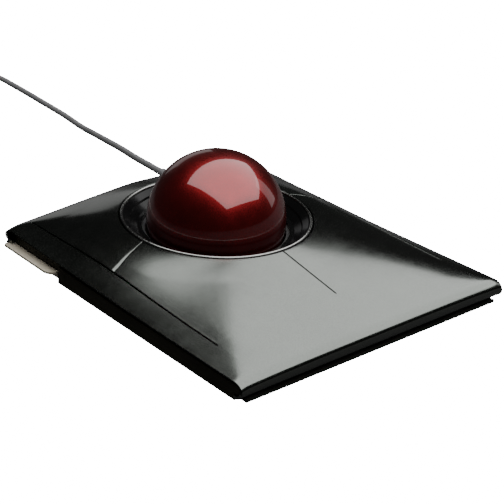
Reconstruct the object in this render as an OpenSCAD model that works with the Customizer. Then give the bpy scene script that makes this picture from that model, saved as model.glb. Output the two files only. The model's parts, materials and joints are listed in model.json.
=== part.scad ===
// A wired trackball for the desk: a thin, sloping deck with a large ball in a round bowl near its
// back edge. The top sheet is cut by narrow slits into four buttons, which bend about their outer
// ends and press a microswitch each. A hidden wedge under the deck carries the ball's socket.
//
// +X is the user's right, +Y is away from the user, +Z is up. The origin is on the desk, below the
// middle of the body. Most pieces are drawn in the deck's own frame, which leans forward by
// deck_tilt: there x is the same, y runs up the deck from its front edge, and z is square to it.

/* [Deck] */
// half of the deck's width at its front edge
deck_half_front = 67.6; // [55:0.1:75]
// how much narrower each side is at the back edge
deck_taper = 5.6; // [0:0.1:12]
// depth of the deck from front edge to back edge
deck_depth = 146.5; // [120:0.5:170]
// forward slope of the deck, in degrees
deck_tilt = 5; // [0:0.5:8]
// height of the deck's lower front edge above the desk
deck_lift = 4; // [2:0.5:8]
// height of the top sheet along the sides
side_height = 7.2; // [6:0.1:10]
// height of the top sheet at its back corners
corner_height = 9.2; // [7:0.1:12]
// height of the top sheet at the middle of the front edge
front_height = 8; // [6:0.1:12]
// height of the top sheet at the middle of the back edge
rear_height = 13.4; // [8:0.1:18]
// thickness of the top sheet
sheet = 1.6; // [1:0.1:3]
// how far the front and back noses are rounded
nose = 4.5; // [2:0.5:6]

/* [Ball] */
// diameter of the ball
ball_d = 55; // [40:0.5:60]
// distance of the ball's centre from the deck's front edge
ball_y = 91.9; // [80:0.1:105]
// height of the ball's centre in the deck's frame
ball_z = 17.6; // [12:0.1:24]
// radius of the round opening in the top sheet
ring_r = 38.5; // [32:0.1:45]
// height of the top sheet at the round opening
ring_height = 18.4; // [14:0.1:22]

/* [Buttons] */
// width of the slits between the buttons
slit = 0.5; // [0.3:0.1:1]
// distance of the long side slits from the deck's sides
slit_inset = 8.2; // [4:0.1:12]
// distance of the front buttons' bending line from the front edge
front_bend_y = 24.5; // [15:0.5:35]
// distance of the rear buttons' bending line from the front edge
rear_bend_y = 140.5; // [135:0.5:143]
// sideways place of the four switches
switch_x = 44; // [40:0.5:50]
// place of the front switches, measured from the front edge
front_switch_y = 74; // [60:0.5:80]
// place of the rear switches, measured from the front edge
rear_switch_y = 110; // [100:0.5:118]

/* [Side inserts] */
// length of the light inserts near the back of both sides
insert_l = 32; // [20:0.5:40]
// how far they stand out from the deck's side
insert_out = 2.2; // [2:0.1:8]
// height of the light inserts' upper face
insert_top = 3.4; // [2:0.1:4]

/* [Cable] */
// diameter of the cable
cable_d = 3; // [2.5:0.1:4]
// sideways place where the cable leaves the back edge
cable_x = 28; // [0:1:40]

/* [Hidden] */
$fn = 64;
origin_y = 72.5;                         // middle of the body, measured from the deck's front edge
taper_rate = deck_taper / deck_depth;
deck_half_rear = deck_half_front - deck_taper;
ball_r = ball_d / 2;
floor_z = 1;                             // underside of the belly, on top of the feet
floor_t = 1.2;
plate_t = 1.8;                           // thickness of the deck's bottom plate
plate_z = 0.2;
plate_inset = 3;
play = 0.3;                              // clearance between a button and the frame at its bend
slope_bulge = 0.6;                       // how full the deck swells towards its sides
crown_power = 1.2;                       // how squarely the back edge drops to its corners
rise_start = 60;                         // where the sides begin to rise towards the back corners
rise_power = 1.5;
outline_steps = 12;                      // straight pieces along each side of the top frame
nose_wall = 1.4;
front_nose_low = 0.6;                    // where the front nose ends, below
rear_nose_low = 4;                       // where the back nose ends, above the bottom shell's lip
rear_lip = 3.4;                          // height of the bottom shell's lip along the back edge
cap_t = 2.2;                             // thickness of the side caps
cap_recess = 0.6;                        // how far they lie behind the sheet's edge
cap_low = -0.5;                          // their lower edge
seam = 0.02;                             // joint between the sheet and its rounded noses
cross_y = 85.5;                          // where the cross slits meet the side slits
cross_angle = 2.5;                       // where they meet the ring, in degrees in front of its middle
bezel_r = ring_r - slit;
lip_r = bezel_r - 0.7;                   // centre line of the bright bead
lip_wire = 0.6;
cup_in = ball_r + 0.8;
cup_out = cup_in + 1.4;
cup_top = -6;                            // top of the socket, from the ball's centre
bearing_r = 1.25;
bearing_down = 42;                       // degrees below the ball's equator
bearing_turn = 90;
sensor_down = 30;
sensor_turns = [215, 325];
board_z = 3.4;
board_t = 1.6;
board_top = board_z + board_t;
switch_w = 5.8;
switch_l = 12.8;
switch_h = 6.5;
plunger_h = 1.1;
plunger_r = 1;
press_gap = 0.15;
boss_r = 1.9;
screw_r = 1;
screw_head_r = 1.6;
screw_places = [[52, 14], [58.2, 102]];
standoffs = [[38, 32], [38, 62]];
feet = [[46, 18], [25, 126]];
foot_r = 5;
relief_r = 2.7;
relief_tip_r = 2;
relief_l = 12;
flange_r = 4;
relief_z = 6;                            // height of the cable's way out of the back edge
coil_centre = [76, 335.5];
coil_mid_r = 16.5;
coil_w = 9;
coil_h = 12;
coil_z = 0.7;
tie_t = 0.6;
tie_w = 6;
plug_x = 42;
plug_y = 331;

// The cable's way from the back edge to the coil: level out of the strain relief, down to the
// desk under its own weight, then along the desk.
cable_route = [
    [28, 74, 22.84], [28, 84.9, 23.8], [28, 86.4, 23.93], [28.8, 91, 23.9], [31, 98, 23.2],
    [35.2, 109, 21.5], [41.5, 123.5, 18.9], [48.8, 140, 16], [57, 159, 12.4], [65, 177, 8.8],
    [71.5, 191, 5.8], [77, 204, 3.3], [81.8, 217, 1.7], [85.5, 231, 1.5], [88.5, 246, 1.5],
    [91.5, 262, 1.5], [94.5, 278, 1.5], [97.3, 294, 1.5], [99.3, 308, 1.6], [99, 322, 2],
    [95.5, 335.5, 2.2]
];
// The cable's end: off the top of the coil, down beside it and into the plug.
end_route = [
    [56.5, 335.5, 11.2], [56.3, 331, 11], [54.9, 326.6, 9.6], [52, 323.7, 7.6], [48.6, 322.8, 5.8],
    [45, 324, 4.4], [42.7, 326.5, 3.8], [42, 329, 3.6], [42, 331, 3.6]
];
inner_route = [
    [28, 139, 6], [31, 131, 5.6], [35, 119, 5.2], [36.4, 106, 5.2], [36.4, 90, 5.2], [35, 78, 6],
    [31, 68, 7.4], [30, 63, 7.4]
];

// ---- the deck's shape ----

// The deck's half width at a distance from its front edge.
function side_x(y) = deck_half_front - taper_rate * y;

// How far a ray from the ball's axis runs before it meets the deck's edge.
function edge_reach(ray) =
    let (
        far = deck_depth * 2,
        lean = abs(ray.x) + taper_rate * ray.y
    )
    min(
        lean > 0 ? (deck_half_front - taper_rate * ball_y) / lean : far,
        ray.y < 0 ? ball_y / -ray.y : far,
        ray.y > 0 ? (deck_depth - ball_y) / ray.y : far);

// How much of a height is left at x on an edge that is that wide each way.
function crown(x, half_width, power) = 1 - pow(min(1, abs(x) / half_width), power);

// The top sheet's height along the sides.
function side_edge(y) =
    side_height + (corner_height - side_height) * pow(max(0, y - rise_start) / (deck_depth - rise_start), rise_power);

// The top sheet's height at a point of the deck's edge.
function edge_height(x, y) =
    y > deck_depth - 0.01
        ? corner_height + (rear_height - corner_height) * crown(x, deck_half_rear, crown_power)
    : y < 0.01 ? side_height + (front_height - side_height) * crown(x, deck_half_front, 4)
    : side_edge(y);

// The top sheet's height at a point of the deck: a tent that falls from the ring to the edge.
function top_height(x, y) =
    let (
        away = [x, y - ball_y],
        distance = max(norm(away), 0.01),
        ray = away / distance,
        reach = edge_reach(ray),
        edge = edge_height(ray.x * reach, ball_y + ray.y * reach),
        rise = (reach - distance) / (reach - ring_r),
        bulge = slope_bulge * pow(abs(ray.x), 4)
    )
    edge + (ring_height - edge) * (rise + bulge * rise * (1 - rise));

// ---- helpers ----

module on_deck() {
    translate([0, -origin_y, deck_lift]) rotate([deck_tilt, 0, 0]) children();
}

module at_ball() {
    on_deck() translate([0, ball_y, ball_z]) children();
}

module both_sides() {
    children();
    mirror([1, 0, 0]) children();
}

// A closed solid through rings of points that all have the same count. Each ring runs
// anticlockwise as seen from the next one.
module loft(rings, closed = false) {
    count = len(rings[0]);
    last = len(rings) - 1;
    walls = [for (i = [0 : closed ? last : last - 1], j = [0 : count - 1])
        let (next = (i + 1) % (last + 1), k = (j + 1) % count)
        each [[i * count + j, next * count + k, i * count + k],
              [i * count + j, next * count + j, next * count + k]]];
    caps = closed ? [] : [for (j = [0 : count / 2 - 2])
        each [[j, j + 1, count - 2 - j, count - 1 - j],
              [for (k = [count - 1 - j, count - 2 - j, j + 1, j]) last * count + k]]];
    polyhedron(points = [for (ring = rings) each ring], faces = concat(walls, caps));
}

// A round tube along a route, with eight sides.
module tube(route, r) {
    last = len(route) - 1;
    rings = [for (i = [0 : last])
        let (
            along = route[min(i + 1, last)] - route[max(i - 1, 0)],
            ahead = along / norm(along),
            flat = cross([0, 0, 1], ahead),
            across = flat / norm(flat),
            up = cross(ahead, across)
        )
        [for (j = [0 : 7]) route[i] + r * (cos(45 * j + 22.5) * across + sin(45 * j + 22.5) * up)]];
    loft(rings);
}

// A patch of the top sheet, from rows of places on the deck; it is closed where the rows form a ring.
module sheet_patch(rows, closed = false) {
    loft([for (row = rows) concat(
        [for (p = row) [p.x, p.y, top_height(p.x, p.y)]],
        [for (i = [len(row) - 1 : -1 : 0]) [row[i].x, row[i].y, top_height(row[i].x, row[i].y) - sheet]])],
        closed);
}

// Places on a straight line, without its last point.
function dots(from, to, steps) = [for (i = [0 : steps - 1]) from + (to - from) * i / steps];

// A line from one place to another, with both ends.
function line(from, to, steps) = concat(dots(from, to, steps), [to]);

// The four corners of an area that follows the deck's sides at a distance, anticlockwise.
function corners(front, rear, inset) = [
    [side_x(front) - inset, front], [side_x(rear) - inset, rear],
    [-(side_x(rear) - inset), rear], [-(side_x(front) - inset), front]];

// Places around the outline with those corners.
function outline(c) = [for (i = [0 : 3]) each dots(c[i], c[(i + 1) % 4], outline_steps)];

// A rounded nose across the deck: it starts at start_y, turns over and comes back at height low.
module nose_bar(start_y, facing, half_width, low) {
    arc = [for (i = [0 : 8]) 90 - 22.5 * i];
    loft([for (i = [0 : outline_steps])
        let (
            x = facing * half_width * (1 - 2 * i / outline_steps),
            half = (top_height(x, start_y) - low) / 2
        )
        concat(
            [for (a = arc) [x, start_y + facing * nose * cos(a), low + half + half * sin(a)]],
            [for (i = [8 : -1 : 0])
                [x, start_y + facing * (nose - nose_wall) * cos(arc[i]), low + half + (half - nose_wall) * sin(arc[i])]])]);
}

// ---- the deck's pieces ----

module top_frame() {
    rear_start = deck_depth - nose;
    inner = outline(corners(front_bend_y, rear_bend_y, slit_inset));
    outer = outline(corners(nose, rear_start, 0));
    on_deck() {
        difference() {
            union() {
                sheet_patch([for (i = [0 : len(inner) - 1]) line(inner[i], outer[i], 3)], closed = true);
                both_sides() for (place = screw_places)
                    translate([place.x, place.y, plate_z + plate_t])
                        cylinder(h = top_height(place.x, place.y) - plate_t - 1, r = boss_r);
            }
            both_sides() for (place = screw_places)
                translate([place.x, place.y, 0]) cylinder(h = 6.5, r = screw_r);
        }
        nose_bar(nose - seam, -1, side_x(nose), front_nose_low);
        difference() {
            nose_bar(rear_start + seam, 1, side_x(rear_start), rear_nose_low);
            relief_hole();
        }
    }
}

// The outer line of a button of the left half, from the cross slit round to the middle slit.
function button_border(front) =
    let (
        bend = front ? front_bend_y + play : rear_bend_y - play,
        away = front ? -slit / 2 : slit / 2,
        side = -(side_x(bend) - slit_inset - slit),
        start = [-(side_x(cross_y) - slit_inset - slit), cross_y + away]
    )
    concat(dots(start, [side, bend], 6), line([side, bend], [-slit / 2, bend], 5));

// The inner line of the same button, along the ring.
function button_arc(front) =
    let (
        cross_end = 180 + cross_angle + (front ? 0.4 : -0.4),
        middle_end = front ? 269.6 : 90.4
    )
    [for (i = [0 : 11]) let (a = cross_end + (middle_end - cross_end) * i / 11)
        [ring_r * cos(a), ball_y + ring_r * sin(a)]];

module left_button(front) {
    post_y = front ? front_switch_y : rear_switch_y;
    post_z = board_top + switch_h + plunger_h + press_gap;
    arc = button_arc(front);
    border = button_border(front);
    rows = [for (i = [0 : 11]) line(arc[i], border[i], 5)];
    on_deck() {
        sheet_patch(front ? rows : [for (i = [11 : -1 : 0]) rows[i]]);
        translate([-switch_x, post_y, post_z])
            cylinder(h = top_height(-switch_x, post_y) - post_z - sheet / 2, r = 1.4);
    }
}

// The side cap's outline, seen from the side: round in front, then up to the sheet all along.
module cap_outline(from, to) {
    mid = (side_height + front_nose_low) / 2;
    round_y = nose - nose_wall - 0.35;
    round_z = mid - front_nose_low - nose_wall - 0.35;
    start = max(from, nose + 0.15);
    if (from < nose) {
        polygon([for (i = [0 : 12]) let (a = 90 + 15 * i) [nose + round_y * cos(a), mid + round_z * sin(a)]]);
        translate([nose - 0.01, mid - round_z]) square([0.2, 2 * round_z]);
    }
    polygon(concat(
        [[start, cap_low], [to, cap_low]],
        [for (i = [8 : -1 : 0]) let (y = start + (to - start) * i / 8) [y, side_edge(y) - sheet - 0.1]]));
}

module side_cap_left() {
    step_y = deck_depth - insert_l - 3.5;
    on_deck() translate([-deck_half_front, 0, 0]) rotate([0, 0, -atan(taper_rate)]) {
        translate([cap_recess, 0, 0]) rotate([90, 0, 90]) linear_extrude(cap_t) cap_outline(0, step_y);
        // behind the step the cap lies deeper, above the light insert
        translate([cap_recess + cap_t - 1, 0, 0]) rotate([90, 0, 90]) linear_extrude(1)
            difference() {
                cap_outline(step_y, deck_depth - nose - 0.2);
                translate([step_y - 1, -2]) square([60, insert_top + 2.2]);
            }
    }
}

// A thin tab that stands out from the side, on a thicker root.
module side_insert_left() {
    on_deck() {
        translate([0, 0, insert_top - 1]) linear_extrude(1) insert_outline(insert_out, 4);
        translate([0, 0, 0.3]) linear_extrude(insert_top - 0.8) insert_outline(insert_out - 4, 1);
    }
}

module insert_outline(out, corner) {
    rear_y = deck_depth - 2;
    front_y = rear_y - insert_l;
    hull() {
        translate([-(side_x(front_y) + out - corner), front_y + corner]) circle(corner);
        translate([-(side_x(rear_y) + out - 1), rear_y - 1]) circle(1);
        translate([-(side_x(rear_y) - 6), rear_y - 1]) circle(1);
        translate([-(side_x(front_y) - 6), front_y + 1]) circle(1);
    }
}

module bottom_shell() {
    difference() {
        union() {
            on_deck() {
                translate([0, 0, plate_z]) linear_extrude(plate_t) difference() {
                    plate_outline(nose + 0.15, deck_depth - nose, plate_inset);
                    translate([0, ball_y]) circle(35);
                }
                translate([0, 0, -0.8]) linear_extrude(1.2) plate_outline(1, nose + 1, plate_inset + 0.2);
                translate([0, 0, plate_z]) linear_extrude(rear_lip)
                    plate_outline(deck_depth - nose - 0.1, deck_depth - 0.4, 0.3);
            }
            difference() {
                belly(0);
                belly(1.6);
            }
            on_deck() both_sides() {
                for (place = concat(standoffs, [[switch_x, front_switch_y], [switch_x, rear_switch_y]]))
                    translate([place.x, place.y, plate_z + 0.5])
                        cylinder(h = board_z - plate_z - 0.5, r = 2.2);
            }
        }
        on_deck() {
            both_sides() {
                for (place = screw_places) translate([place.x, place.y, -1]) {
                    cylinder(h = 5, r = screw_r + 0.2);
                    cylinder(h = 2.1, r = screw_head_r + 0.2);
                }
                for (place = standoffs) translate([place.x, place.y, 1.2]) cylinder(h = 4, r = 0.8);
                translate([side_x(deck_depth) - 7.6, deck_depth - insert_l - 3.5, -1])
                    cube([14, insert_l + 1.8, 8]);
            }
            relief_hole();
        }
        ball_hole(12.6);
    }
}

module plate_outline(start, end, inset) {
    polygon(corners(start, end, inset));
}

// The way out for the cable, with room for the strain relief's flange on the inside.
module relief_hole() {
    translate([cable_x, deck_depth, relief_z]) rotate([90, 0, 0]) {
        translate([0, 0, -5]) cylinder(h = 20, r = relief_r + 0.1);
        translate([0, 0, 2.1]) cylinder(h = 8, r = flange_r + 0.2);
    }
}

// The upright hole in the belly's floor, below the ball.
module ball_hole(r) {
    y = ball_y * cos(deck_tilt) - ball_z * sin(deck_tilt) - origin_y;
    translate([0, y, -1]) cylinder(h = 6, r = r);
}

// The wedge below the deck. Its sides slope inwards, so that the deck seems to float.
module belly(shrink) {
    rise = deck_lift + plate_z + (shrink > 0 ? plate_t + 1 : plate_t / 2);
    bottom = floor_z + (shrink > 0 ? floor_t : 0);
    front = 10 + shrink - origin_y;
    rear = 136 - shrink - origin_y;
    front_top = rise + 10 * sin(deck_tilt);
    rear_top = rise + 136 * sin(deck_tilt);
    loft([
        [[-54.5 + shrink, front, bottom], [54.5 - shrink, front, bottom],
         [32 - shrink, rear, bottom], [-32 + shrink, rear, bottom]],
        [[-56 + shrink, front, front_top], [56 - shrink, front, front_top],
         [49 - shrink, rear, rear_top], [-49 + shrink, rear, rear_top]]]);
}

// ---- the ball and its seat ----

module ball_bezel() {
    lift = ring_height - ball_z;
    at_ball() difference() {
        rotate_extrude($fn = 128) polygon([
            [bezel_r, lift - 0.3], [bezel_r, lift - 9], [bezel_r - 1.4, lift - 9],
            [bezel_r - 1.4, lift - 5], [31, cup_top + 1.2], [29.2, cup_top + 1.2], [29.2, cup_top + 2.4],
            [31, lift - 4.6], [33.6, lift - 2.8], [34, lift - 2], [36.2, lift - 0.4]]);
        translate([0, 0, lift - 0.1]) rotate_extrude($fn = 128) translate([lip_r, 0]) circle(lip_wire);
    }
}

module bezel_lip() {
    at_ball() translate([0, 0, ring_height - ball_z - 0.1])
        rotate_extrude($fn = 128) translate([lip_r, 0]) circle(lip_wire);
}

module ball_socket() {
    at_ball() difference() {
        union() {
            sphere(cup_out);
            translate([0, 0, cup_top - 1.4]) cylinder(h = 2.4, r = 33);
            for (i = [0 : 2]) rotate([0, 0, bearing_turn + 120 * i]) rotate([0, bearing_down, 0])
                translate([cup_out - 1, 0, 0]) rotate([0, 90, 0]) cylinder(h = 2.6, r = 2.4);
        }
        sphere(cup_in);
        translate([0, 0, cup_top + 1]) cylinder(h = 40, r = 40);
        for (i = [0 : 2]) rotate([0, 0, bearing_turn + 120 * i]) rotate([0, bearing_down, 0])
            translate([cup_in - 3, 0, 0]) rotate([0, 90, 0]) cylinder(h = 5, r = bearing_r + 0.05);
        for (turn = sensor_turns) rotate([0, 0, turn]) rotate([0, sensor_down, 0])
            translate([cup_in - 3, 0, 0]) rotate([0, 90, 0]) cylinder(h = 8, r = 3.1);
        rotate([-deck_tilt, 0, 0]) translate([0, 0, -50 - (ball_height() - floor_z - floor_t - 0.2)])
            cube(100, center = true);
    }
}

function ball_height() = deck_lift + ball_y * sin(deck_tilt) + ball_z * cos(deck_tilt);

module support_bearings() {
    at_ball() for (i = [0 : 2]) rotate([0, 0, bearing_turn + 120 * i]) rotate([0, bearing_down, 0])
        translate([ball_r + bearing_r + 0.03, 0, 0]) sphere(bearing_r, $fn = 32);
}

// The ball is drawn as nested layers, one for each way that it moves.
module ball_layer(inside, outside) {
    at_ball() difference() {
        sphere(outside, $fn = 128);
        if (inside > 0) sphere(inside, $fn = 128);
    }
}

// A laser sensor, square to the ball, behind its window in the socket.
module sensor(turn) {
    at_ball() rotate([0, 0, turn]) rotate([0, sensor_down, 0]) {
        translate([cup_out + 1.8, 0, 0]) cube([2.4, 9, 7], center = true);
        translate([cup_out + 3.5, 0, 0]) cube([1, 11, 9], center = true);
    }
}

module sensor_windows() {
    at_ball() for (turn = sensor_turns) rotate([0, 0, turn]) rotate([0, sensor_down, 0])
        translate([cup_in + 0.3, 0, 0]) rotate([0, 90, 0]) cylinder(h = 1, r = 3);
}

// ---- the electronics ----

module main_board() {
    on_deck() translate([0, 0, board_z]) linear_extrude(board_t) difference() {
        translate([-42, 28]) square([84, 38]);
        translate([0, ball_y]) circle(36);
        for (place = standoffs, sign = [-1, 1]) translate([sign * place.x, place.y]) circle(1.1);
    }
}

module controller_chip() {
    on_deck() translate([-8, 38, board_top + 0.6]) cube([9, 9, 1.2], center = true);
}

module board_parts() {
    on_deck() translate([0, 0, board_top]) {
        for (x = [-26, -20]) translate([x, 36, 0]) cylinder(h = 4.5, r = 2);
        for (i = [0 : 3]) translate([2 + 4 * i, 34, 0.4]) cube([2, 1.2, 0.8], center = true);
        translate([8, 44, 0.8]) cube([8, 3.6, 1.6], center = true);
    }
}

module buzzer() {
    on_deck() translate([22, 42, board_top]) difference() {
        cylinder(h = 3, r = 5.5);
        translate([0, 0, 2]) cylinder(h = 2, r = 1);
    }
}

module cable_connector() {
    on_deck() translate([30, 60, board_top + 2.2]) difference() {
        cube([9, 6, 4.4], center = true);
        translate([0, 2.5, 0.4]) cube([6.4, 5, 2.8], center = true);
    }
}

module inner_lead() {
    on_deck() tube(inner_route, 1.2);
}

module switch_board(sign) {
    on_deck() translate([sign * switch_x - 4.5, front_switch_y - 8, board_z])
        cube([9, rear_switch_y - front_switch_y + 16, board_t]);
}

module switch_bodies() {
    on_deck() both_sides() for (y = [front_switch_y, rear_switch_y])
        translate([switch_x, y, board_top + switch_h / 2]) difference() {
            cube([switch_w, switch_l, switch_h], center = true);
            translate([0, 0, switch_h / 2 - 1.5]) cylinder(h = 3, r = plunger_r + 0.15);
        }
}

module plunger(sign, y) {
    on_deck() translate([sign * switch_x, y, board_top + switch_h - 0.2]) cylinder(h = plunger_h + 0.2, r = plunger_r);
}

// ---- fasteners, feet and label ----

module case_screws() {
    on_deck() both_sides() for (place = screw_places) translate([place.x, place.y, 0]) {
        translate([0, 0, -0.6 + plate_z]) cylinder(h = 1.4, r = screw_head_r);
        translate([0, 0, 0.7]) cylinder(h = 5, r = screw_r);
    }
}

module board_screws() {
    on_deck() both_sides() for (place = standoffs) translate([place.x, place.y, 0]) {
        translate([0, 0, board_top]) cylinder(h = 1.1, r = 1.8);
        translate([0, 0, 1.4]) cylinder(h = board_top - 1.4, r = 0.8);
    }
}

module rubber_feet() {
    both_sides() for (place = feet) translate([place.x, place.y - origin_y, 0]) cylinder(h = floor_z, r = foot_r);
}

module rating_label() {
    translate([-20, 32 - origin_y, floor_z - 0.2]) cube([40, 16, 0.2]);
}

// ---- the cable ----

module strain_relief() {
    on_deck() translate([cable_x, deck_depth, relief_z]) rotate([-90, 0, 0]) difference() {
        union() {
            translate([0, 0, -4.6]) cylinder(h = 2.4, r = flange_r);
            translate([0, 0, -2.4]) cylinder(h = 2.5, r = relief_r);
            translate([0, 0, 0]) cylinder(h = relief_l, r1 = relief_r, r2 = relief_tip_r);
        }
        translate([0, 0, -6]) cylinder(h = 30, r = cable_d / 2 + 0.02);
    }
}

module cable_coil() {
    translate([coil_centre.x, coil_centre.y, coil_z]) rotate_extrude()
        translate([coil_mid_r, coil_h / 2]) square([coil_w, coil_h], center = true);
}

module cable_tie() {
    inner_w = coil_w + 0.8;
    inner_h = coil_h + 0.2;
    translate([coil_centre.x, coil_centre.y + coil_mid_r - 0.15, inner_h / 2 + tie_t]) difference() {
        cube([tie_w, inner_w + 2 * tie_t, inner_h + 2 * tie_t], center = true);
        cube([tie_w + 1, inner_w, inner_h], center = true);
    }
}

module plug_grip() {
    translate([plug_x, plug_y, 3.6]) difference() {
        rotate([-90, 0, 0]) linear_extrude(24) offset(1.6) square([8.4, 3.8], center = true);
        translate([0, 20, 0]) cube([12.1, 30, 4.6], center = true);
    }
}

module plug_shell() {
    translate([plug_x, plug_y + 23.5, 3.6]) difference() {
        cube([12, 37, 4.5], center = true);
        translate([0, 2, 0]) cube([11.4, 37, 3.9], center = true);
    }
}

module plug_tongue() {
    translate([plug_x, plug_y + 26, 4.4]) cube([11.2, 28, 1.9], center = true);
}

graphite = [0.20, 0.21, 0.20];
dark_olive = [0.10, 0.10, 0.07];

color(dark_olive) bottom_shell();
color(graphite) top_frame();
color(graphite) left_button(true);  // button_front_left
color(graphite) mirror([1, 0, 0]) left_button(true);  // button_front_right
color(graphite) left_button(false);  // button_rear_left
color(graphite) mirror([1, 0, 0]) left_button(false);  // button_rear_right
color(dark_olive) side_cap_left();
color(dark_olive) mirror([1, 0, 0]) side_cap_left();  // side_cap_right
color([0.72, 0.68, 0.60]) side_insert_left();
color([0.72, 0.68, 0.60]) mirror([1, 0, 0]) side_insert_left();  // side_insert_right
color([0.02, 0.02, 0.02]) ball_bezel();
color([0.75, 0.75, 0.75]) bezel_lip();
color([0.03, 0.03, 0.03]) ball_socket();
color([0.85, 0.85, 0.85]) support_bearings();
color([0.45, 0.02, 0.03]) ball_layer(0, 12);  // ball_heart
color([0.45, 0.02, 0.03]) ball_layer(12.05, 18);  // ball_inner
color([0.45, 0.02, 0.03]) ball_layer(18.05, 23);  // ball_outer
color([0.45, 0.02, 0.03]) ball_layer(23.05, ball_r);  // ball_skin
color([0.05, 0.05, 0.05]) sensor(sensor_turns[0]);  // sensor_left
color([0.05, 0.05, 0.05]) sensor(sensor_turns[1]);  // sensor_right
color([0.3, 0.05, 0.05]) sensor_windows();
color([0.05, 0.25, 0.12]) main_board();
color([0.04, 0.04, 0.04]) controller_chip();
color([0.25, 0.22, 0.18]) board_parts();
color([0.05, 0.05, 0.05]) buzzer();
color([0.85, 0.83, 0.76]) cable_connector();
color([0.08, 0.08, 0.08]) inner_lead();
color([0.05, 0.25, 0.12]) switch_board(-1);  // switch_board_left
color([0.05, 0.25, 0.12]) switch_board(1);  // switch_board_right
color([0.06, 0.06, 0.07]) switch_bodies();
color([0.8, 0.8, 0.76]) plunger(-1, front_switch_y);  // plunger_front_left
color([0.8, 0.8, 0.76]) plunger(1, front_switch_y);  // plunger_front_right
color([0.8, 0.8, 0.76]) plunger(-1, rear_switch_y);  // plunger_rear_left
color([0.8, 0.8, 0.76]) plunger(1, rear_switch_y);  // plunger_rear_right
color([0.35, 0.35, 0.36]) case_screws();
color([0.7, 0.7, 0.7]) board_screws();
color([0.04, 0.04, 0.04]) rubber_feet();
color([0.6, 0.6, 0.6]) rating_label();
color([0.12, 0.12, 0.12]) strain_relief();
color([0.15, 0.15, 0.15]) tube(cable_route, cable_d / 2);  // cable
color([0.15, 0.15, 0.15]) cable_coil();
color([0.15, 0.15, 0.15]) tube(end_route, cable_d / 2);  // cable_end
color([0.05, 0.05, 0.05]) cable_tie();
color([0.08, 0.08, 0.08]) plug_grip();
color([0.75, 0.75, 0.76]) plug_shell();
color([0.9, 0.9, 0.88]) plug_tongue();
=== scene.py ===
import json
import math

import bpy
import numpy as np
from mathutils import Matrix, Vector


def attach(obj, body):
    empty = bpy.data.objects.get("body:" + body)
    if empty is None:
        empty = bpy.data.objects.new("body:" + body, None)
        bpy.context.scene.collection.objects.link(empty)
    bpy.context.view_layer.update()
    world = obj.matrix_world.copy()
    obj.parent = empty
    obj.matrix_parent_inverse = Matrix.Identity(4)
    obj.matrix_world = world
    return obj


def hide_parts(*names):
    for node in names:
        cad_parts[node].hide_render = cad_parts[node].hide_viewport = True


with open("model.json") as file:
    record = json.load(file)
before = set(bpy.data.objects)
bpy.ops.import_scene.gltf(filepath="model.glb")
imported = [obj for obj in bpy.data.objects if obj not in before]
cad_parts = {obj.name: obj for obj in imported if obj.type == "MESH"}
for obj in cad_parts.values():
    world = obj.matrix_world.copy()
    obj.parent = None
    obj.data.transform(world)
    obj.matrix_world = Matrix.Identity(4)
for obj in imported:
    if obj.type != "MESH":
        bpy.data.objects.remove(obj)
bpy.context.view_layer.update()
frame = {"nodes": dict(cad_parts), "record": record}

# ---------------------------------------------------------------------------------------------
# Sizes. The deck's own frame is in millimetres: x to the right, y up the deck from its front
# edge, z square to it. deck() turns a place there into the part's frame, in metres.
# ---------------------------------------------------------------------------------------------
MM = 0.001
TILT = math.radians(5)
LIFT = 4.0
ORIGIN_Y = 72.5

# The deck's outline and the heights of its edges
HALF_FRONT = 67.6
TAPER = 5.6
DEPTH = 146.5
HALF_REAR = HALF_FRONT - TAPER
TAPER_RATE = TAPER / DEPTH
SIDE_HEIGHT = 7.2
FRONT_HEIGHT = 8.0
BOW_POWER = 4
REAR_HEIGHT = 13.4
CROWN_POWER = 1.2
CORNER_HEIGHT = 9.2
RISE_START = 60
RISE_POWER = 1.5

# The ring round the ball, and the slopes that climb to it
BALL_Y = 91.9
RING_R = 38.5
RING_HEIGHT = 18.4
SLOPE_BULGE = 0.6
BULGE_POWER = 4
SOFTEN_RADIUS = 13
SOFTEN_ROOM = 0.9
SOFTEN_SAMPLES = 12
SOFTEN_RINGS = ((0.35, 0.15), (0.7, 0.1), (1.0, 0.05))

# The sheet's thickness and noses, and the slits that cut it into a frame and four buttons
SHEET = 1.6
SHOWN_SHEET = 1.25
NOSE = 4.5
FRONT_NOSE_LOW = 0.6
REAR_NOSE_LOW = 4.0
SLIT = 0.5
SLIT_INSET = 8.2
SLIT_MIDDLE = SLIT_INSET + SLIT / 2
FRONT_BEND = 24.5
REAR_BEND = 140.5
CROSS_Y = 85.5
CROSS_ANGLE = 2.5
EDGE_ROUND = 0.15

# The peg under each button, which stands just clear of its switch's plunger
PEG_X = 44
FRONT_PEG_Y = 74
REAR_PEG_Y = 110
PEG_R = 1.4
BOARD_TOP = 3.4 + 1.6
SWITCH_HEIGHT = 6.5
PLUNGER_HEIGHT = 1.1
PEG_GAP = 0.15
PEG_FOOT = BOARD_TOP + SWITCH_HEIGHT + PLUNGER_HEIGHT + PEG_GAP

TINY = 1e-6
FAR = 1000.0


def deck(p):
    """Places in the deck's frame (mm, one row each) in the part's frame (m)."""
    p = np.atleast_2d(np.asarray(p, float))
    y = p[:, 1] * math.cos(TILT) - p[:, 2] * math.sin(TILT) - ORIGIN_Y
    z = LIFT + p[:, 1] * math.sin(TILT) + p[:, 2] * math.cos(TILT)
    return np.stack([p[:, 0], y, z], 1) * MM


# ---------------------------------------------------------------------------------------------
# The shape of the top sheet
# ---------------------------------------------------------------------------------------------
def side_x(y):
    """How far out the deck's side edge is at that distance up the deck."""
    return HALF_FRONT - TAPER_RATE * y


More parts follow.
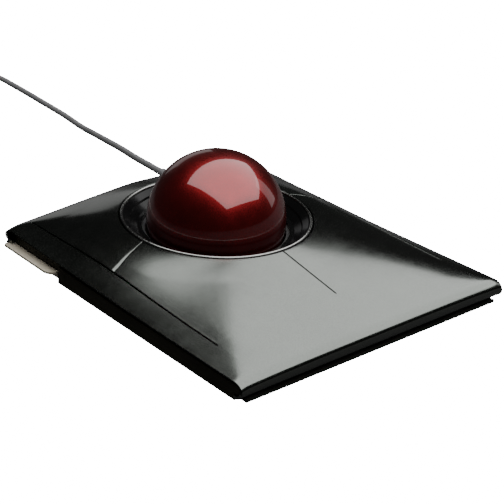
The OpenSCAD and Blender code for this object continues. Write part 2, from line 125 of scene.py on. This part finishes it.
def sharp_height(x, y):
    """The sheet's height with sharp ridges: every ray from the ball falls from the ring to the edge."""
    away = np.stack([x, y - BALL_Y])
    distance = np.maximum(np.hypot(*away), 0.01)
    ray = away / distance
    lean = np.abs(ray[0]) + TAPER_RATE * ray[1]
    side = np.where(lean > TINY, side_x(BALL_Y) / np.maximum(lean, TINY), FAR)
    along = np.where(np.abs(ray[1]) < TINY, TINY, ray[1])
    front = np.where(ray[1] < 0, BALL_Y / -along, FAR)
    rear = np.where(ray[1] > 0, (DEPTH - BALL_Y) / along, FAR)
    reach = np.minimum(side, np.minimum(front, rear))
    edge_x = np.abs(ray[0] * reach)
    edge_y = BALL_Y + ray[1] * reach
    crown = 1 - np.minimum(1, edge_x / HALF_REAR) ** CROWN_POWER
    bow = 1 - np.minimum(1, edge_x / HALF_FRONT) ** BOW_POWER
    climb = (np.maximum(0, edge_y - RISE_START) / (DEPTH - RISE_START)) ** RISE_POWER
    edge = np.where(
        rear <= reach + TINY,
        CORNER_HEIGHT + (REAR_HEIGHT - CORNER_HEIGHT) * crown,
        np.where(
            front <= reach + TINY,
            SIDE_HEIGHT + (FRONT_HEIGHT - SIDE_HEIGHT) * bow,
            SIDE_HEIGHT + (CORNER_HEIGHT - SIDE_HEIGHT) * climb,
        ),
    )
    rise = (reach - distance) / (reach - RING_R)
    bulge = SLOPE_BULGE * np.abs(ray[0]) ** BULGE_POWER
    return edge + (RING_HEIGHT - edge) * (rise + bulge * rise * (1 - rise))


def sheet_height(x, y):
    """The same surface with soft ridges: a weighted mean over a disc that shrinks near the edges."""
    x, y = np.asarray(x, float), np.asarray(y, float)
    room = np.minimum(
        np.minimum(side_x(y) - np.abs(x), np.hypot(x, y - BALL_Y) - RING_R),
        np.minimum(y, DEPTH - y),
    )
    radius = np.clip(room * SOFTEN_ROOM, 0, SOFTEN_RADIUS)
    total = sharp_height(x, y)
    total_weight = 1.0
    for share, weight in SOFTEN_RINGS:
        for k in range(SOFTEN_SAMPLES):
            a = math.radians(360 / SOFTEN_SAMPLES * k + 15 * share)
            sample = sharp_height(x + radius * share * math.cos(a), y + radius * share * math.sin(a))
            total = total + weight * sample
            total_weight += weight
    return total / total_weight


def segment_distance(x, y, start, end):
    """How far each place is from a straight line between two points."""
    ax, ay = start
    bx, by = end
    length_2 = (bx - ax) ** 2 + (by - ay) ** 2
    t = np.clip(((x - ax) * (bx - ax) + (y - ay) * (by - ay)) / length_2, 0, 1)
    return np.hypot(x - ax - t * (bx - ax), y - ay - t * (by - ay))


def rounded_edge(distance):
    """How far the surface drops at that distance from an edge, so that the edge is round."""
    inside = np.clip(EDGE_ROUND - distance, 0, EDGE_ROUND)
    return EDGE_ROUND - np.sqrt(EDGE_ROUND**2 - inside**2)


# ---------------------------------------------------------------------------------------------
# Mesh helpers
# ---------------------------------------------------------------------------------------------
def add_mesh(name, points, faces, material, smooth=True):
    mesh = bpy.data.meshes.new(name)
    mesh.from_pydata([tuple(p) for p in points], [], faces)
    mesh.validate()
    mesh.materials.append(material)
    for polygon in mesh.polygons:
        polygon.use_smooth = smooth
    piece = bpy.data.objects.new(name, mesh)
    bpy.context.collection.objects.link(piece)
    return piece


def grid_faces(rows, columns, start=0):
    """The quads between rows of points that are numbered row by row from start."""
    faces = []
    for i in range(rows - 1):
        for j in range(columns - 1):
            a = start + i * columns + j
            faces.append((a, a + 1, a + columns + 1, a + columns))
    return faces


def facing_up(points, faces):
    """The same faces, all turned over if the middle one looks down."""
    a, b, c = (np.array(points[i]) for i in faces[len(faces) // 2][:3])
    return faces if np.cross(b - a, c - a)[2] > 0 else [face[::-1] for face in faces]


def apply_modifiers(piece):
    bpy.context.view_layer.update()
    shape = piece.evaluated_get(bpy.context.evaluated_depsgraph_get())
    mesh = bpy.data.meshes.new_from_object(shape)
    piece.modifiers.clear()
    piece.data = mesh


def weld(piece, distance):
    modifier = piece.modifiers.new("weld", "WELD")
    modifier.merge_threshold = distance
    apply_modifiers(piece)


def thicken(piece, thickness):
    """Gives a surface its thickness, downwards from where it is."""
    modifier = piece.modifiers.new("thick", "SOLIDIFY")
    modifier.thickness = thickness
    modifier.offset = -1
    apply_modifiers(piece)


def sharpen(piece, angle=40):
    """Keeps the edges crisp where two faces meet at more than that angle."""
    mesh = piece.data
    normals = {}
    for polygon in mesh.polygons:
        for key in polygon.edge_keys:
            normals.setdefault(key, []).append(polygon.normal.copy())
    for edge in mesh.edges:
        around = normals.get(edge.key, [])
        edge.use_edge_sharp = len(around) == 2 and around[0].angle(around[1], 0) > math.radians(angle)


# ---------------------------------------------------------------------------------------------
# Materials
# ---------------------------------------------------------------------------------------------
def new_material(name):
    """An empty Principled material: its tree, shader, object coordinates and itself."""
    material = bpy.data.materials.new(name)
    material.use_nodes = True
    tree = material.node_tree
    tree.nodes.clear()
    out = tree.nodes.new("ShaderNodeOutputMaterial")
    shader = tree.nodes.new("ShaderNodeBsdfPrincipled")
    tree.links.new(shader.outputs[0], out.inputs[0])
    coords = tree.nodes.new("ShaderNodeTexCoord")
    return tree, shader, coords.outputs["Object"], material


def noise(tree, coords, scale, detail=3.0, roughness=0.5, stretch=None):
    if stretch:
        mapping = tree.nodes.new("ShaderNodeMapping")
        mapping.inputs["Scale"].default_value = stretch
        tree.links.new(coords, mapping.inputs["Vector"])
        coords = mapping.outputs[0]
    node = tree.nodes.new("ShaderNodeTexNoise")
    node.inputs["Scale"].default_value = scale
    node.inputs["Detail"].default_value = detail
    node.inputs["Roughness"].default_value = roughness
    tree.links.new(coords, node.inputs["Vector"])
    return node.outputs["Fac"]


def ramp(tree, value, stops):
    """A colour for each value, from stops of (position, colour)."""
    node = tree.nodes.new("ShaderNodeValToRGB")
    tree.links.new(value, node.inputs[0])
    elements = node.color_ramp.elements
    elements[0].position, elements[0].color = stops[0][0], (*stops[0][1], 1)
    elements[1].position, elements[1].color = stops[-1][0], (*stops[-1][1], 1)
    for position, colour in stops[1:-1]:
        elements.new(position).color = (*colour, 1)
    return node.outputs[0]


def grey(v):
    return (v, v, v)


def add_bump(tree, shader, height, strength, distance):
    node = tree.nodes.new("ShaderNodeBump")
    node.inputs["Strength"].default_value = strength
    node.inputs["Distance"].default_value = distance
    tree.links.new(height, node.inputs["Height"])
    tree.links.new(node.outputs[0], shader.inputs["Normal"])


def plastic(name, dark, light, rough, grain_scale, grain_depth, coat=0.0, specular=0.5):
    """Moulded plastic or lacquer: slightly uneven colour and gloss over a fine grain."""
    tree, shader, coords, material = new_material(name)
    patches = noise(tree, coords, 60, 4)
    tree.links.new(ramp(tree, patches, [(0.3, dark), (0.7, light)]), shader.inputs["Base Color"])
    worn = noise(tree, coords, 220, 5, 0.6)
    gloss = ramp(tree, worn, [(0.3, grey(rough[0])), (0.75, grey(rough[1]))])
    tree.links.new(gloss, shader.inputs["Roughness"])
    shader.inputs["Specular IOR Level"].default_value = specular
    shader.inputs["Coat Weight"].default_value = coat
    shader.inputs["Coat Roughness"].default_value = 0.05
    add_bump(tree, shader, noise(tree, coords, grain_scale, 2), 0.5, grain_depth)
    return material


def metal(name, dark, light, rough, stretch=(1, 1, 1)):
    """Bare metal with fine brushing, which stretch draws out along an axis."""
    tree, shader, coords, material = new_material(name)
    brushed = noise(tree, coords, 900, 3, 0.6, stretch)
    tree.links.new(ramp(tree, brushed, [(0.3, dark), (0.7, light)]), shader.inputs["Base Color"])
    gloss = ramp(tree, brushed, [(0.3, grey(rough[0])), (0.7, grey(rough[1]))])
    tree.links.new(gloss, shader.inputs["Roughness"])
    shader.inputs["Metallic"].default_value = 1
    add_bump(tree, shader, brushed, 0.1, 0.00002)
    return material


def graphite_material():
    """Dark metallic lacquer with fine flakes under a clear coat."""
    tree, shader, coords, material = new_material("graphite")
    flakes = noise(tree, coords, 2600, 2, 0.7)
    clouds = noise(tree, coords, 35, 3)
    flake_colours = [
        (0.3, (0.108, 0.117, 0.108)),
        (0.5, (0.124, 0.134, 0.123)),
        (0.75, (0.145, 0.156, 0.143)),
    ]
    mix = tree.nodes.new("ShaderNodeMix")
    mix.data_type = "RGBA"
    mix.blend_type = "MULTIPLY"
    mix.inputs[0].default_value = 1
    tree.links.new(ramp(tree, flakes, flake_colours), mix.inputs[6])
    tree.links.new(ramp(tree, clouds, [(0.3, grey(0.94)), (0.7, grey(1.0))]), mix.inputs[7])
    tree.links.new(mix.outputs[2], shader.inputs["Base Color"])
    rough = ramp(tree, noise(tree, coords, 180, 4), [(0.3, grey(0.15)), (0.7, grey(0.18))])
    tree.links.new(rough, shader.inputs["Roughness"])
    shader.inputs["Metallic"].default_value = 1.0
    shader.inputs["Coat Weight"].default_value = 0.35
    shader.inputs["Coat Roughness"].default_value = 0.1
    add_bump(tree, shader, noise(tree, coords, 1900, 2), 0.03, 0.00001)
    return material


def ball_material():
    """Deep red resin with a polished skin and a faint cloudy depth."""
    tree, shader, coords, material = new_material("ball_red")
    clouds = noise(tree, coords, 70, 4, 0.55)
    reds = [
        (0.25, (0.14, 0.004, 0.005)),
        (0.55, (0.19, 0.006, 0.008)),
        (0.8, (0.24, 0.008, 0.011)),
    ]
    tree.links.new(ramp(tree, clouds, reds), shader.inputs["Base Color"])
    rough = ramp(tree, noise(tree, coords, 300, 4), [(0.3, grey(0.30)), (0.75, grey(0.36))])
    tree.links.new(rough, shader.inputs["Roughness"])
    shader.inputs["Metallic"].default_value = 0.9
    shader.inputs["Coat Weight"].default_value = 1.0
    shader.inputs["Coat IOR"].default_value = 1.6
    shader.inputs["Coat Roughness"].default_value = 0.03
    add_bump(tree, shader, noise(tree, coords, 900, 2), 0.04, 0.00002)
    return material


PLASTICS = {
    "dark_case": dict(
        dark=(0.008, 0.008, 0.007), light=(0.013, 0.013, 0.012), rough=(0.42, 0.55),
        grain_scale=2200, grain_depth=0.00006, specular=0.12,
    ),
    "side_cap": dict(
        dark=(0.014, 0.013, 0.008), light=(0.022, 0.020, 0.013), rough=(0.45, 0.6),
        grain_scale=2400, grain_depth=0.00006, specular=0.12,
    ),
    "light_insert": dict(
        dark=(0.50, 0.455, 0.355), light=(0.55, 0.50, 0.40), rough=(0.38, 0.5),
        grain_scale=2600, grain_depth=0.00004,
    ),
    "black_gloss": dict(
        dark=(0.0025, 0.0025, 0.0027), light=(0.004, 0.004, 0.004), rough=(0.14, 0.2),
        grain_scale=700, grain_depth=0.000002, coat=0.04, specular=0.12,
    ),
    "sensor_red": dict(
        dark=(0.12, 0.005, 0.005), light=(0.2, 0.01, 0.01), rough=(0.05, 0.1),
        grain_scale=900, grain_depth=0.00001, coat=0.8,
    ),
    "circuit_board": dict(
        dark=(0.01, 0.09, 0.03), light=(0.02, 0.13, 0.05), rough=(0.25, 0.4),
        grain_scale=1200, grain_depth=0.00003, coat=0.3,
    ),
    "black_plastic": dict(
        dark=(0.010, 0.010, 0.010), light=(0.02, 0.02, 0.02), rough=(0.4, 0.55),
        grain_scale=2200, grain_depth=0.00005,
    ),
    "white_plastic": dict(
        dark=(0.62, 0.60, 0.55), light=(0.70, 0.68, 0.63), rough=(0.35, 0.5),
        grain_scale=2200, grain_depth=0.00003,
    ),
    "rubber": dict(
        dark=(0.012, 0.012, 0.012), light=(0.024, 0.024, 0.024), rough=(0.7, 0.85),
        grain_scale=1800, grain_depth=0.0001,
    ),
    "label": dict(
        dark=(0.42, 0.42, 0.41), light=(0.5, 0.5, 0.49), rough=(0.35, 0.45),
        grain_scale=1500, grain_depth=0.00001,
    ),
    "cable_jacket": dict(
        dark=(0.16, 0.16, 0.163), light=(0.20, 0.20, 0.203), rough=(0.3, 0.42),
        grain_scale=1600, grain_depth=0.00005,
    ),
}
METALS = {
    "bright_bead": dict(dark=(0.24, 0.24, 0.23), light=(0.34, 0.34, 0.33), rough=(0.18, 0.28)),
    "steel": dict(dark=(0.42, 0.42, 0.42), light=(0.6, 0.6, 0.6), rough=(0.2, 0.35)),
    "can_metal": dict(dark=(0.4, 0.4, 0.38), light=(0.5, 0.5, 0.48), rough=(0.3, 0.45)),
    "plug_metal": dict(
        dark=(0.5, 0.5, 0.5), light=(0.68, 0.68, 0.68), rough=(0.18, 0.3), stretch=(1, 0.1, 1),
    ),
}

MATERIALS = {"graphite_sheet": graphite_material(), "ball_red": ball_material()}
MATERIALS.update({name: plastic(name, **look) for name, look in PLASTICS.items()})
MATERIALS.update({name: metal(name, **look) for name, look in METALS.items()})


def finish_nodes():
    """Gives every CAD node the material of its slot in the record."""
    slots = {row["node"]: row["material_slot"] for row in frame["record"]["subparts"]}
    for name, node in frame["nodes"].items():
        node.data.materials.clear()
        node.data.materials.append(MATERIALS[slots[name]])


finish_nodes()

# ---------------------------------------------------------------------------------------------
# Camera, floor and light
# ---------------------------------------------------------------------------------------------
CAMERA_AT = (-0.44391, -0.49318, 0.28972)
CAMERA_AZIMUTH = -42.18
CAMERA_ELEVATION = 22.10
CAMERA_LENS = 131.9
FLOOR_GLOW = 25
FLOOR_SIZE = 6

# Name, place, what it faces, width and height (m), and power (W)
LAMPS = (
    ("key", (0.515, -0.40, 1.03), (0.515, -0.40, 0), (2.17, 2.04), 44),
    ("strip", (1.12, -0.3, 0.45), (0, 0.02, 0.04), (0.4, 0.7), 0.8),
    ("back", (0.46, 0.98, 0.27), (-0.02, 0.03, 0.02), (0.5, 0.3), 0.18),
)


def add_camera():
    data = bpy.data.cameras.new("camera")
    data.lens = CAMERA_LENS
    data.sensor_width = 36
    data.clip_start = 0.01
    data.clip_end = 50
    camera = bpy.data.objects.new("camera", data)
    bpy.context.collection.objects.link(camera)
    camera.location = CAMERA_AT
    camera.rotation_euler = (math.radians(90 - CAMERA_ELEVATION), 0, math.radians(CAMERA_AZIMUTH))
    bpy.context.scene.camera = camera


def add_floor():
    """A table that the camera sees white, but that stays dark in the object's gloss."""
    tree, shader, coords, material = new_material("floor")
    shade = ramp(tree, noise(tree, coords, 3, 2), [(0.3, grey(0.03)), (0.7, grey(0.04))])
    tree.links.new(shade, shader.inputs["Base Color"])
    shader.inputs["Roughness"].default_value = 0.9
    shader.inputs["Emission Color"].default_value = (1, 1, 1, 1)
    path = tree.nodes.new("ShaderNodeLightPath")
    glow = tree.nodes.new("ShaderNodeMath")
    glow.operation = "MULTIPLY"
    glow.inputs[1].default_value = FLOOR_GLOW
    tree.links.new(path.outputs["Is Camera Ray"], glow.inputs[0])
    tree.links.new(glow.outputs[0], shader.inputs["Emission Strength"])
    corners = [(x * FLOOR_SIZE, y * FLOOR_SIZE, 0) for x, y in ((-1, -1), (1, -1), (1, 1), (-1, 1))]
    floor = add_mesh("floor", corners, [(0, 1, 2, 3)], material, smooth=False)


def add_world():
    """White for the eye, dark for reflections, so that only the lamps show in the gloss."""
    world = bpy.data.worlds.new("world")
    bpy.context.scene.world = world
    world.use_nodes = True
    tree = world.node_tree
    tree.nodes.clear()
    out = tree.nodes.new("ShaderNodeOutputWorld")
    mix = tree.nodes.new("ShaderNodeMixShader")
    path = tree.nodes.new("ShaderNodeLightPath")
    soft = tree.nodes.new("ShaderNodeBackground")
    soft.inputs["Color"].default_value = (0.02, 0.021, 0.02, 1)
    white = tree.nodes.new("ShaderNodeBackground")
    white.inputs["Color"].default_value = (1, 1, 1, 1)
    tree.links.new(path.outputs["Is Camera Ray"], mix.inputs[0])
    tree.links.new(soft.outputs[0], mix.inputs[1])
    tree.links.new(white.outputs[0], mix.inputs[2])
    tree.links.new(mix.outputs[0], out.inputs[0])


def add_lamp(name, place, target, size, power):
    data = bpy.data.lights.new(name, "AREA")
    data.shape = "RECTANGLE"
    data.size, data.size_y = size
    data.energy = power
    lamp = bpy.data.objects.new(name, data)
    bpy.context.collection.objects.link(lamp)
    lamp.location = place
    lamp.rotation_euler = (Vector(target) - Vector(place)).to_track_quat("-Z", "Y").to_euler()


add_camera()
add_floor()
add_world()
for lamp in LAMPS:
    add_lamp(*lamp)

# ---------------------------------------------------------------------------------------------
# The top sheet: a fixed frame with four buttons cut out of it
# ---------------------------------------------------------------------------------------------
# How far from an edge its closest points lie, and where the other rows and columns are
LIP_STEPS = (0, 0.03, 0.07, 0.12, 0.2)
STRIP_COLUMNS = (1, 2.2, 3.6, 5, 6.2, 7.2)
MIDDLE_COLUMNS = 34
FRONT_ROWS = (NOSE, 6, 8, 10.5, 13, 15.5, 18, 20.5, 22.5, 23.5, 24, 24.25, 24.4, FRONT_BEND)
REAR_ROWS = (REAR_BEND, 140.6, 140.75, 141, 141.5, DEPTH - NOSE)
STRIP_ROWS = 59
NOSE_STEPS = 22
SLOPE_STEP = 0.1
LEG_STEPS = 30
ACROSS_STEPS = 30
PEG_SIDES = 24
WELD_DISTANCE = 0.002


def edge_drop(x, y):
    """How far the surface drops near the slits, the ring and the deck's sides."""
    x = np.abs(x)
    cross = math.radians(CROSS_ANGLE)
    cross_in = (RING_R * math.cos(cross), BALL_Y - RING_R * math.sin(cross))
    lines = [
        ((side_x(FRONT_BEND) - SLIT_MIDDLE, FRONT_BEND), (side_x(REAR_BEND) - SLIT_MIDDLE, REAR_BEND)),
        ((side_x(CROSS_Y) - SLIT_MIDDLE, CROSS_Y), cross_in),
        ((0, FRONT_BEND), (0, BALL_Y - RING_R)),
        ((0, BALL_Y + RING_R), (0, REAR_BEND)),
    ]
    drop = rounded_edge(np.maximum(side_x(y) - x, 0))
    drop = np.maximum(drop, rounded_edge(np.maximum(np.hypot(x, y - BALL_Y) - RING_R, 0)))
    for start, end in lines:
        gap = np.maximum(segment_distance(x, y, start, end) - SLIT / 2, 0)
        drop = np.maximum(drop, rounded_edge(gap))
    return drop


def surface(x, y):
    return sheet_height(x, y) - edge_drop(x, y)


def nose_rows(start_y, facing, x, low):
    """Rows of a round nose that carries on the sheet's slope, turns over and comes back below."""
    top = surface(x, np.full_like(x, start_y))
    slope = (top - surface(x, np.full_like(x, start_y - SLOPE_STEP * facing))) / SLOPE_STEP
    half = (top - low) / 2
    rows = []
    for i in range(1, NOSE_STEPS + 1):
        a = math.radians(90 - 180 * i / NOSE_STEPS)
        out = NOSE * math.cos(a)
        carry_on = slope * out * (1 - math.cos(a)) if a > 0 else 0
        height = low + half + half * math.sin(a) + carry_on
        rows.append(np.stack([x, np.full_like(x, start_y + facing * out), height], 1))
    return rows


def column_places(y, whole):
    """The x of every column of a row: the left side strip, or the whole width of the deck."""
    edge = side_x(y)
    insets = [*LIP_STEPS, *STRIP_COLUMNS, *(SLIT_INSET - step for step in LIP_STEPS[::-1])]
    half = [edge - inset for inset in insets]
    if not whole:
        return np.array([-h for h in half])
    inner_edge = edge - SLIT_INSET - SLIT
    half += [inner_edge + SLIT / 2, *(inner_edge - step for step in LIP_STEPS)]
    first = half[-1]
    half += [first * (1 - i / MIDDLE_COLUMNS) for i in range(1, MIDDLE_COLUMNS)]
    half += [SLIT / 2 + step for step in LIP_STEPS]
    half = sorted({round(h, 5) for h in half if h > 0}, reverse=True)
    return np.array([-h for h in half] + [0] + half[::-1])


def row_at(y, whole):
    x = column_places(y, whole)
    return np.stack([x, np.full_like(x, y), surface(x, np.full_like(x, y))], 1)


def sheet_frame():
    """The fixed frame's points and faces: front and rear bands with noses, and two side strips."""
    front = [row_at(y, True) for y in FRONT_ROWS]
    front_nose = nose_rows(NOSE, -1, front[0][:, 0], FRONT_NOSE_LOW)
    rear = [row_at(y, True) for y in REAR_ROWS]
    rear_nose = nose_rows(DEPTH - NOSE, 1, rear[-1][:, 0], REAR_NOSE_LOW)
    left = [row_at(y, False) for y in np.linspace(FRONT_BEND, REAR_BEND, STRIP_ROWS)]
    right = [(row * np.array([-1, 1, 1]))[::-1] for row in left]
    points, faces = [], []
    for rows in (front_nose[::-1] + front, rear + rear_nose, left, right):
        faces.extend(grid_faces(len(rows), len(rows[0]), len(points)))
        for row in rows:
            points.extend(row.tolist())
    return points, faces


def along(first, last):
    """Pairs of (angle on the ring, place on the border) that lead evenly from one to another."""
    pairs = []
    for i in range(1, LEG_STEPS + 1):
        t = i / LEG_STEPS
        place = tuple(a + (b - a) * t for a, b in zip(first[1], last[1]))
        pairs.append((first[0] + (last[0] - first[0]) * t, place))
    return pairs


def button_border(front):
    """The pairs that follow a left button's border, from the cross slit to the middle slit."""
    sign = -1 if front else 1
    bend = FRONT_BEND if front else REAR_BEND
    outer_x = -(side_x(CROSS_Y) - SLIT_INSET - SLIT)
    corner_x = -(side_x(bend) - SLIT_INSET - SLIT)
    slit_turn = math.degrees(SLIT / 2 / RING_R)
    start_angle = 180 + CROSS_ANGLE - sign * slit_turn
    end_angle = 270 - slit_turn if front else 90 + slit_turn
    corner_angle = math.degrees(math.atan2(bend - BALL_Y, corner_x)) % 360
    pairs = []
    for step in LIP_STEPS:
        place = (outer_x + sign * TAPER_RATE * step, CROSS_Y + sign * (SLIT / 2 + step))
        pairs.append((start_angle - sign * math.degrees(step / RING_R), place))
    pairs += along(pairs[-1], (corner_angle, (corner_x, bend)))
    for step in LIP_STEPS[1:]:
        corner_turn = math.degrees(0.3 * step / RING_R)
        pairs.append((corner_angle - sign * corner_turn, (corner_x + step, bend)))
    last_angle = end_angle + sign * math.degrees(LIP_STEPS[-1] / RING_R)
    pairs += along(pairs[-1], (last_angle, (-SLIT / 2 - LIP_STEPS[-1], bend)))
    for step in LIP_STEPS[-2::-1]:
        pairs.append((end_angle + sign * math.degrees(step / RING_R), (-SLIT / 2 - step, bend)))
    return pairs


def shares_across(length):
    """Shares of a length from 0 to 1, close together at both ends."""
    near = [step / length for step in LIP_STEPS]
    middle = np.linspace(near[-1], 1 - near[-1], ACROSS_STEPS)[1:-1]
    return np.array([*near, *middle, *(1 - share for share in near[::-1])])[:, None]


def button_mesh(front, side):
    """A button's points and faces, from the ring out to its border. Side is 1 on the left."""
    rows = []
    for angle, place in button_border(front):
        a = math.radians(angle)
        on_ring = np.array([RING_R * math.cos(a), BALL_Y + RING_R * math.sin(a)])
        t = shares_across(math.dist(on_ring, place))
        rows.append(on_ring * (1 - t) + np.array(place) * t)
    flat = np.concatenate(rows)
    points = np.column_stack([flat[:, 0] * side, flat[:, 1], surface(flat[:, 0], flat[:, 1])])
    return points, facing_up(points, grid_faces(len(rows), len(rows[0])))


def add_peg(button, x, y):
    """The peg under a button that meets the switch's plunger."""
    top = float(sharp_height(np.array(x), np.array(y))) - SHEET / 2
    n = PEG_SIDES
    turns = [2 * math.pi * i / n for i in range(n)]
    ring = [(x + PEG_R * math.cos(a), y + PEG_R * math.sin(a)) for a in turns]
    points = [(*place, PEG_FOOT) for place in ring] + [(*place, top) for place in ring]
    faces = [(i, (i + 1) % n, n + (i + 1) % n, n + i) for i in range(n)]
    faces += [tuple(range(n))[::-1], tuple(range(n, 2 * n))]
    peg = add_mesh("peg", deck(points), faces, button.data.materials[0], smooth=False)
    bpy.ops.object.select_all(action="DESELECT")
    for piece in (peg, button):
        piece.select_set(True)
    bpy.context.view_layer.objects.active = button
    bpy.ops.object.join()


def add_frame():
    points, faces = sheet_frame()
    piece = add_mesh("sheet_frame", deck(points), faces, MATERIALS["graphite_sheet"])
    weld(piece, WELD_DISTANCE * MM)
    thicken(piece, SHOWN_SHEET * MM)
    sharpen(piece)
    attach(piece, "case")
    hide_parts("top_frame")


def add_button(name, front, side):
    points, faces = button_mesh(front, side)
    button = add_mesh("shown_" + name, deck(points), faces, MATERIALS["graphite_sheet"])
    thicken(button, SHOWN_SHEET * MM)
    sharpen(button)
    add_peg(button, -side * PEG_X, FRONT_PEG_Y if front else REAR_PEG_Y)
    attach(button, name)
    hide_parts(name)


add_frame()
for end in ("front", "rear"):
    for side_name, side in (("left", 1), ("right", -1)):
        add_button(f"button_{end}_{side_name}", end == "front", side)

# ---------------------------------------------------------------------------------------------
# Small round edges on the plain moulded parts
# ---------------------------------------------------------------------------------------------
SOFT_EDGES = {
    "side_insert_left": 0.3, "side_insert_right": 0.3, "side_cap_left": 0.15, "side_cap_right": 0.15,
    "plug_grip": 0.3, "plug_shell": 0.15, "cable_tie": 0.15, "rubber_feet": 0.2,
    "switch_bodies": 0.2, "cable_connector": 0.2, "controller_chip": 0.1, "sensor_left": 0.2,
    "sensor_right": 0.2,
}


def soften_edges(node, width):
    modifier = node.modifiers.new("soft_edges", "BEVEL")
    modifier.width = width
    modifier.segments = 2
    modifier.limit_method = "ANGLE"
    modifier.angle_limit = math.radians(40)


for name, width in SOFT_EDGES.items():
    soften_edges(frame["nodes"][name], width * MM)

# ---------------------------------------------------------------------------------------------
# The cable: its route and coil, in millimetres in the part's frame, as in the part's source
# ---------------------------------------------------------------------------------------------
CABLE_D = 3.0
ROUTE = [
    (28, 74, 22.84), (28, 84.9, 23.8), (28.8, 91, 23.9), (31, 98, 23.2), (35.2, 109, 21.5),
    (41.5, 123.5, 18.9), (48.8, 140, 16), (57, 159, 12.4), (65, 177, 8.8), (71.5, 191, 5.8),
    (77, 204, 3.3), (81.8, 217, 1.7), (85.5, 231, 1.5), (88.5, 246, 1.5), (91.5, 262, 1.5),
    (94.5, 278, 1.5), (97.3, 294, 1.5), (99.3, 308, 1.6), (99, 322, 2),
]
END_ROUTE = [
    (56.3, 331, 11), (54.9, 326.6, 9.6), (52, 323.7, 7.6), (48.6, 322.8, 5.8), (45, 324, 4.4),
    (42.7, 326.5, 3.8), (42, 329, 3.6), (42, 332, 3.6),
]
COIL_CENTRE = (76, 335.5)
COIL_RADII = (19.5, 16.5, 13.5)
COIL_LOW = 2.3
COIL_LAYERS = 4
TURN_POINTS = 24


def coil_points():
    """Twelve turns and a half: each layer fills three rings, and every second layer runs back out."""
    rings = len(COIL_RADII)
    turns = COIL_LAYERS * rings
    points = []
    for step in range(turns * TURN_POINTS + TURN_POINTS // 2 + 1):
        turn = step / TURN_POINTS
        layer = min(int(turn // rings), COIL_LAYERS - 1)
        place = turn - layer * rings
        ring = min(place, rings - 1) if turn < turns else rings - 1
        if layer % 2 == 0:
            radius = COIL_RADII[0] - CABLE_D * ring
        else:
            radius = COIL_RADII[-1] + CABLE_D * ring
        climb = min(1, max(0, place - (rings - 0.5)) * 2) if layer < COIL_LAYERS - 1 else 0
        height = COIL_LOW + CABLE_D * (layer + climb)
        a = 2 * math.pi * turn
        points.append((COIL_CENTRE[0] + radius * math.cos(a), COIL_CENTRE[1] + radius * math.sin(a), height))
    return points


def add_cable():
    points = ROUTE + coil_points() + END_ROUTE
    data = bpy.data.curves.new("cable_line", "CURVE")
    data.dimensions = "3D"
    data.bevel_depth = CABLE_D / 2 * MM
    data.bevel_resolution = 5
    data.use_fill_caps = True
    data.resolution_u = 6
    spline = data.splines.new("BEZIER")
    spline.bezier_points.add(len(points) - 1)
    for point, place in zip(spline.bezier_points, points):
        point.co = Vector(place) * MM
        point.handle_left_type = point.handle_right_type = "AUTO"
    data.materials.append(MATERIALS["cable_jacket"])
    cable = bpy.data.objects.new("cable_line", data)
    bpy.context.collection.objects.link(cable)
    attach(cable, "case")
    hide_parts("cable", "cable_coil", "cable_end")


add_cable()
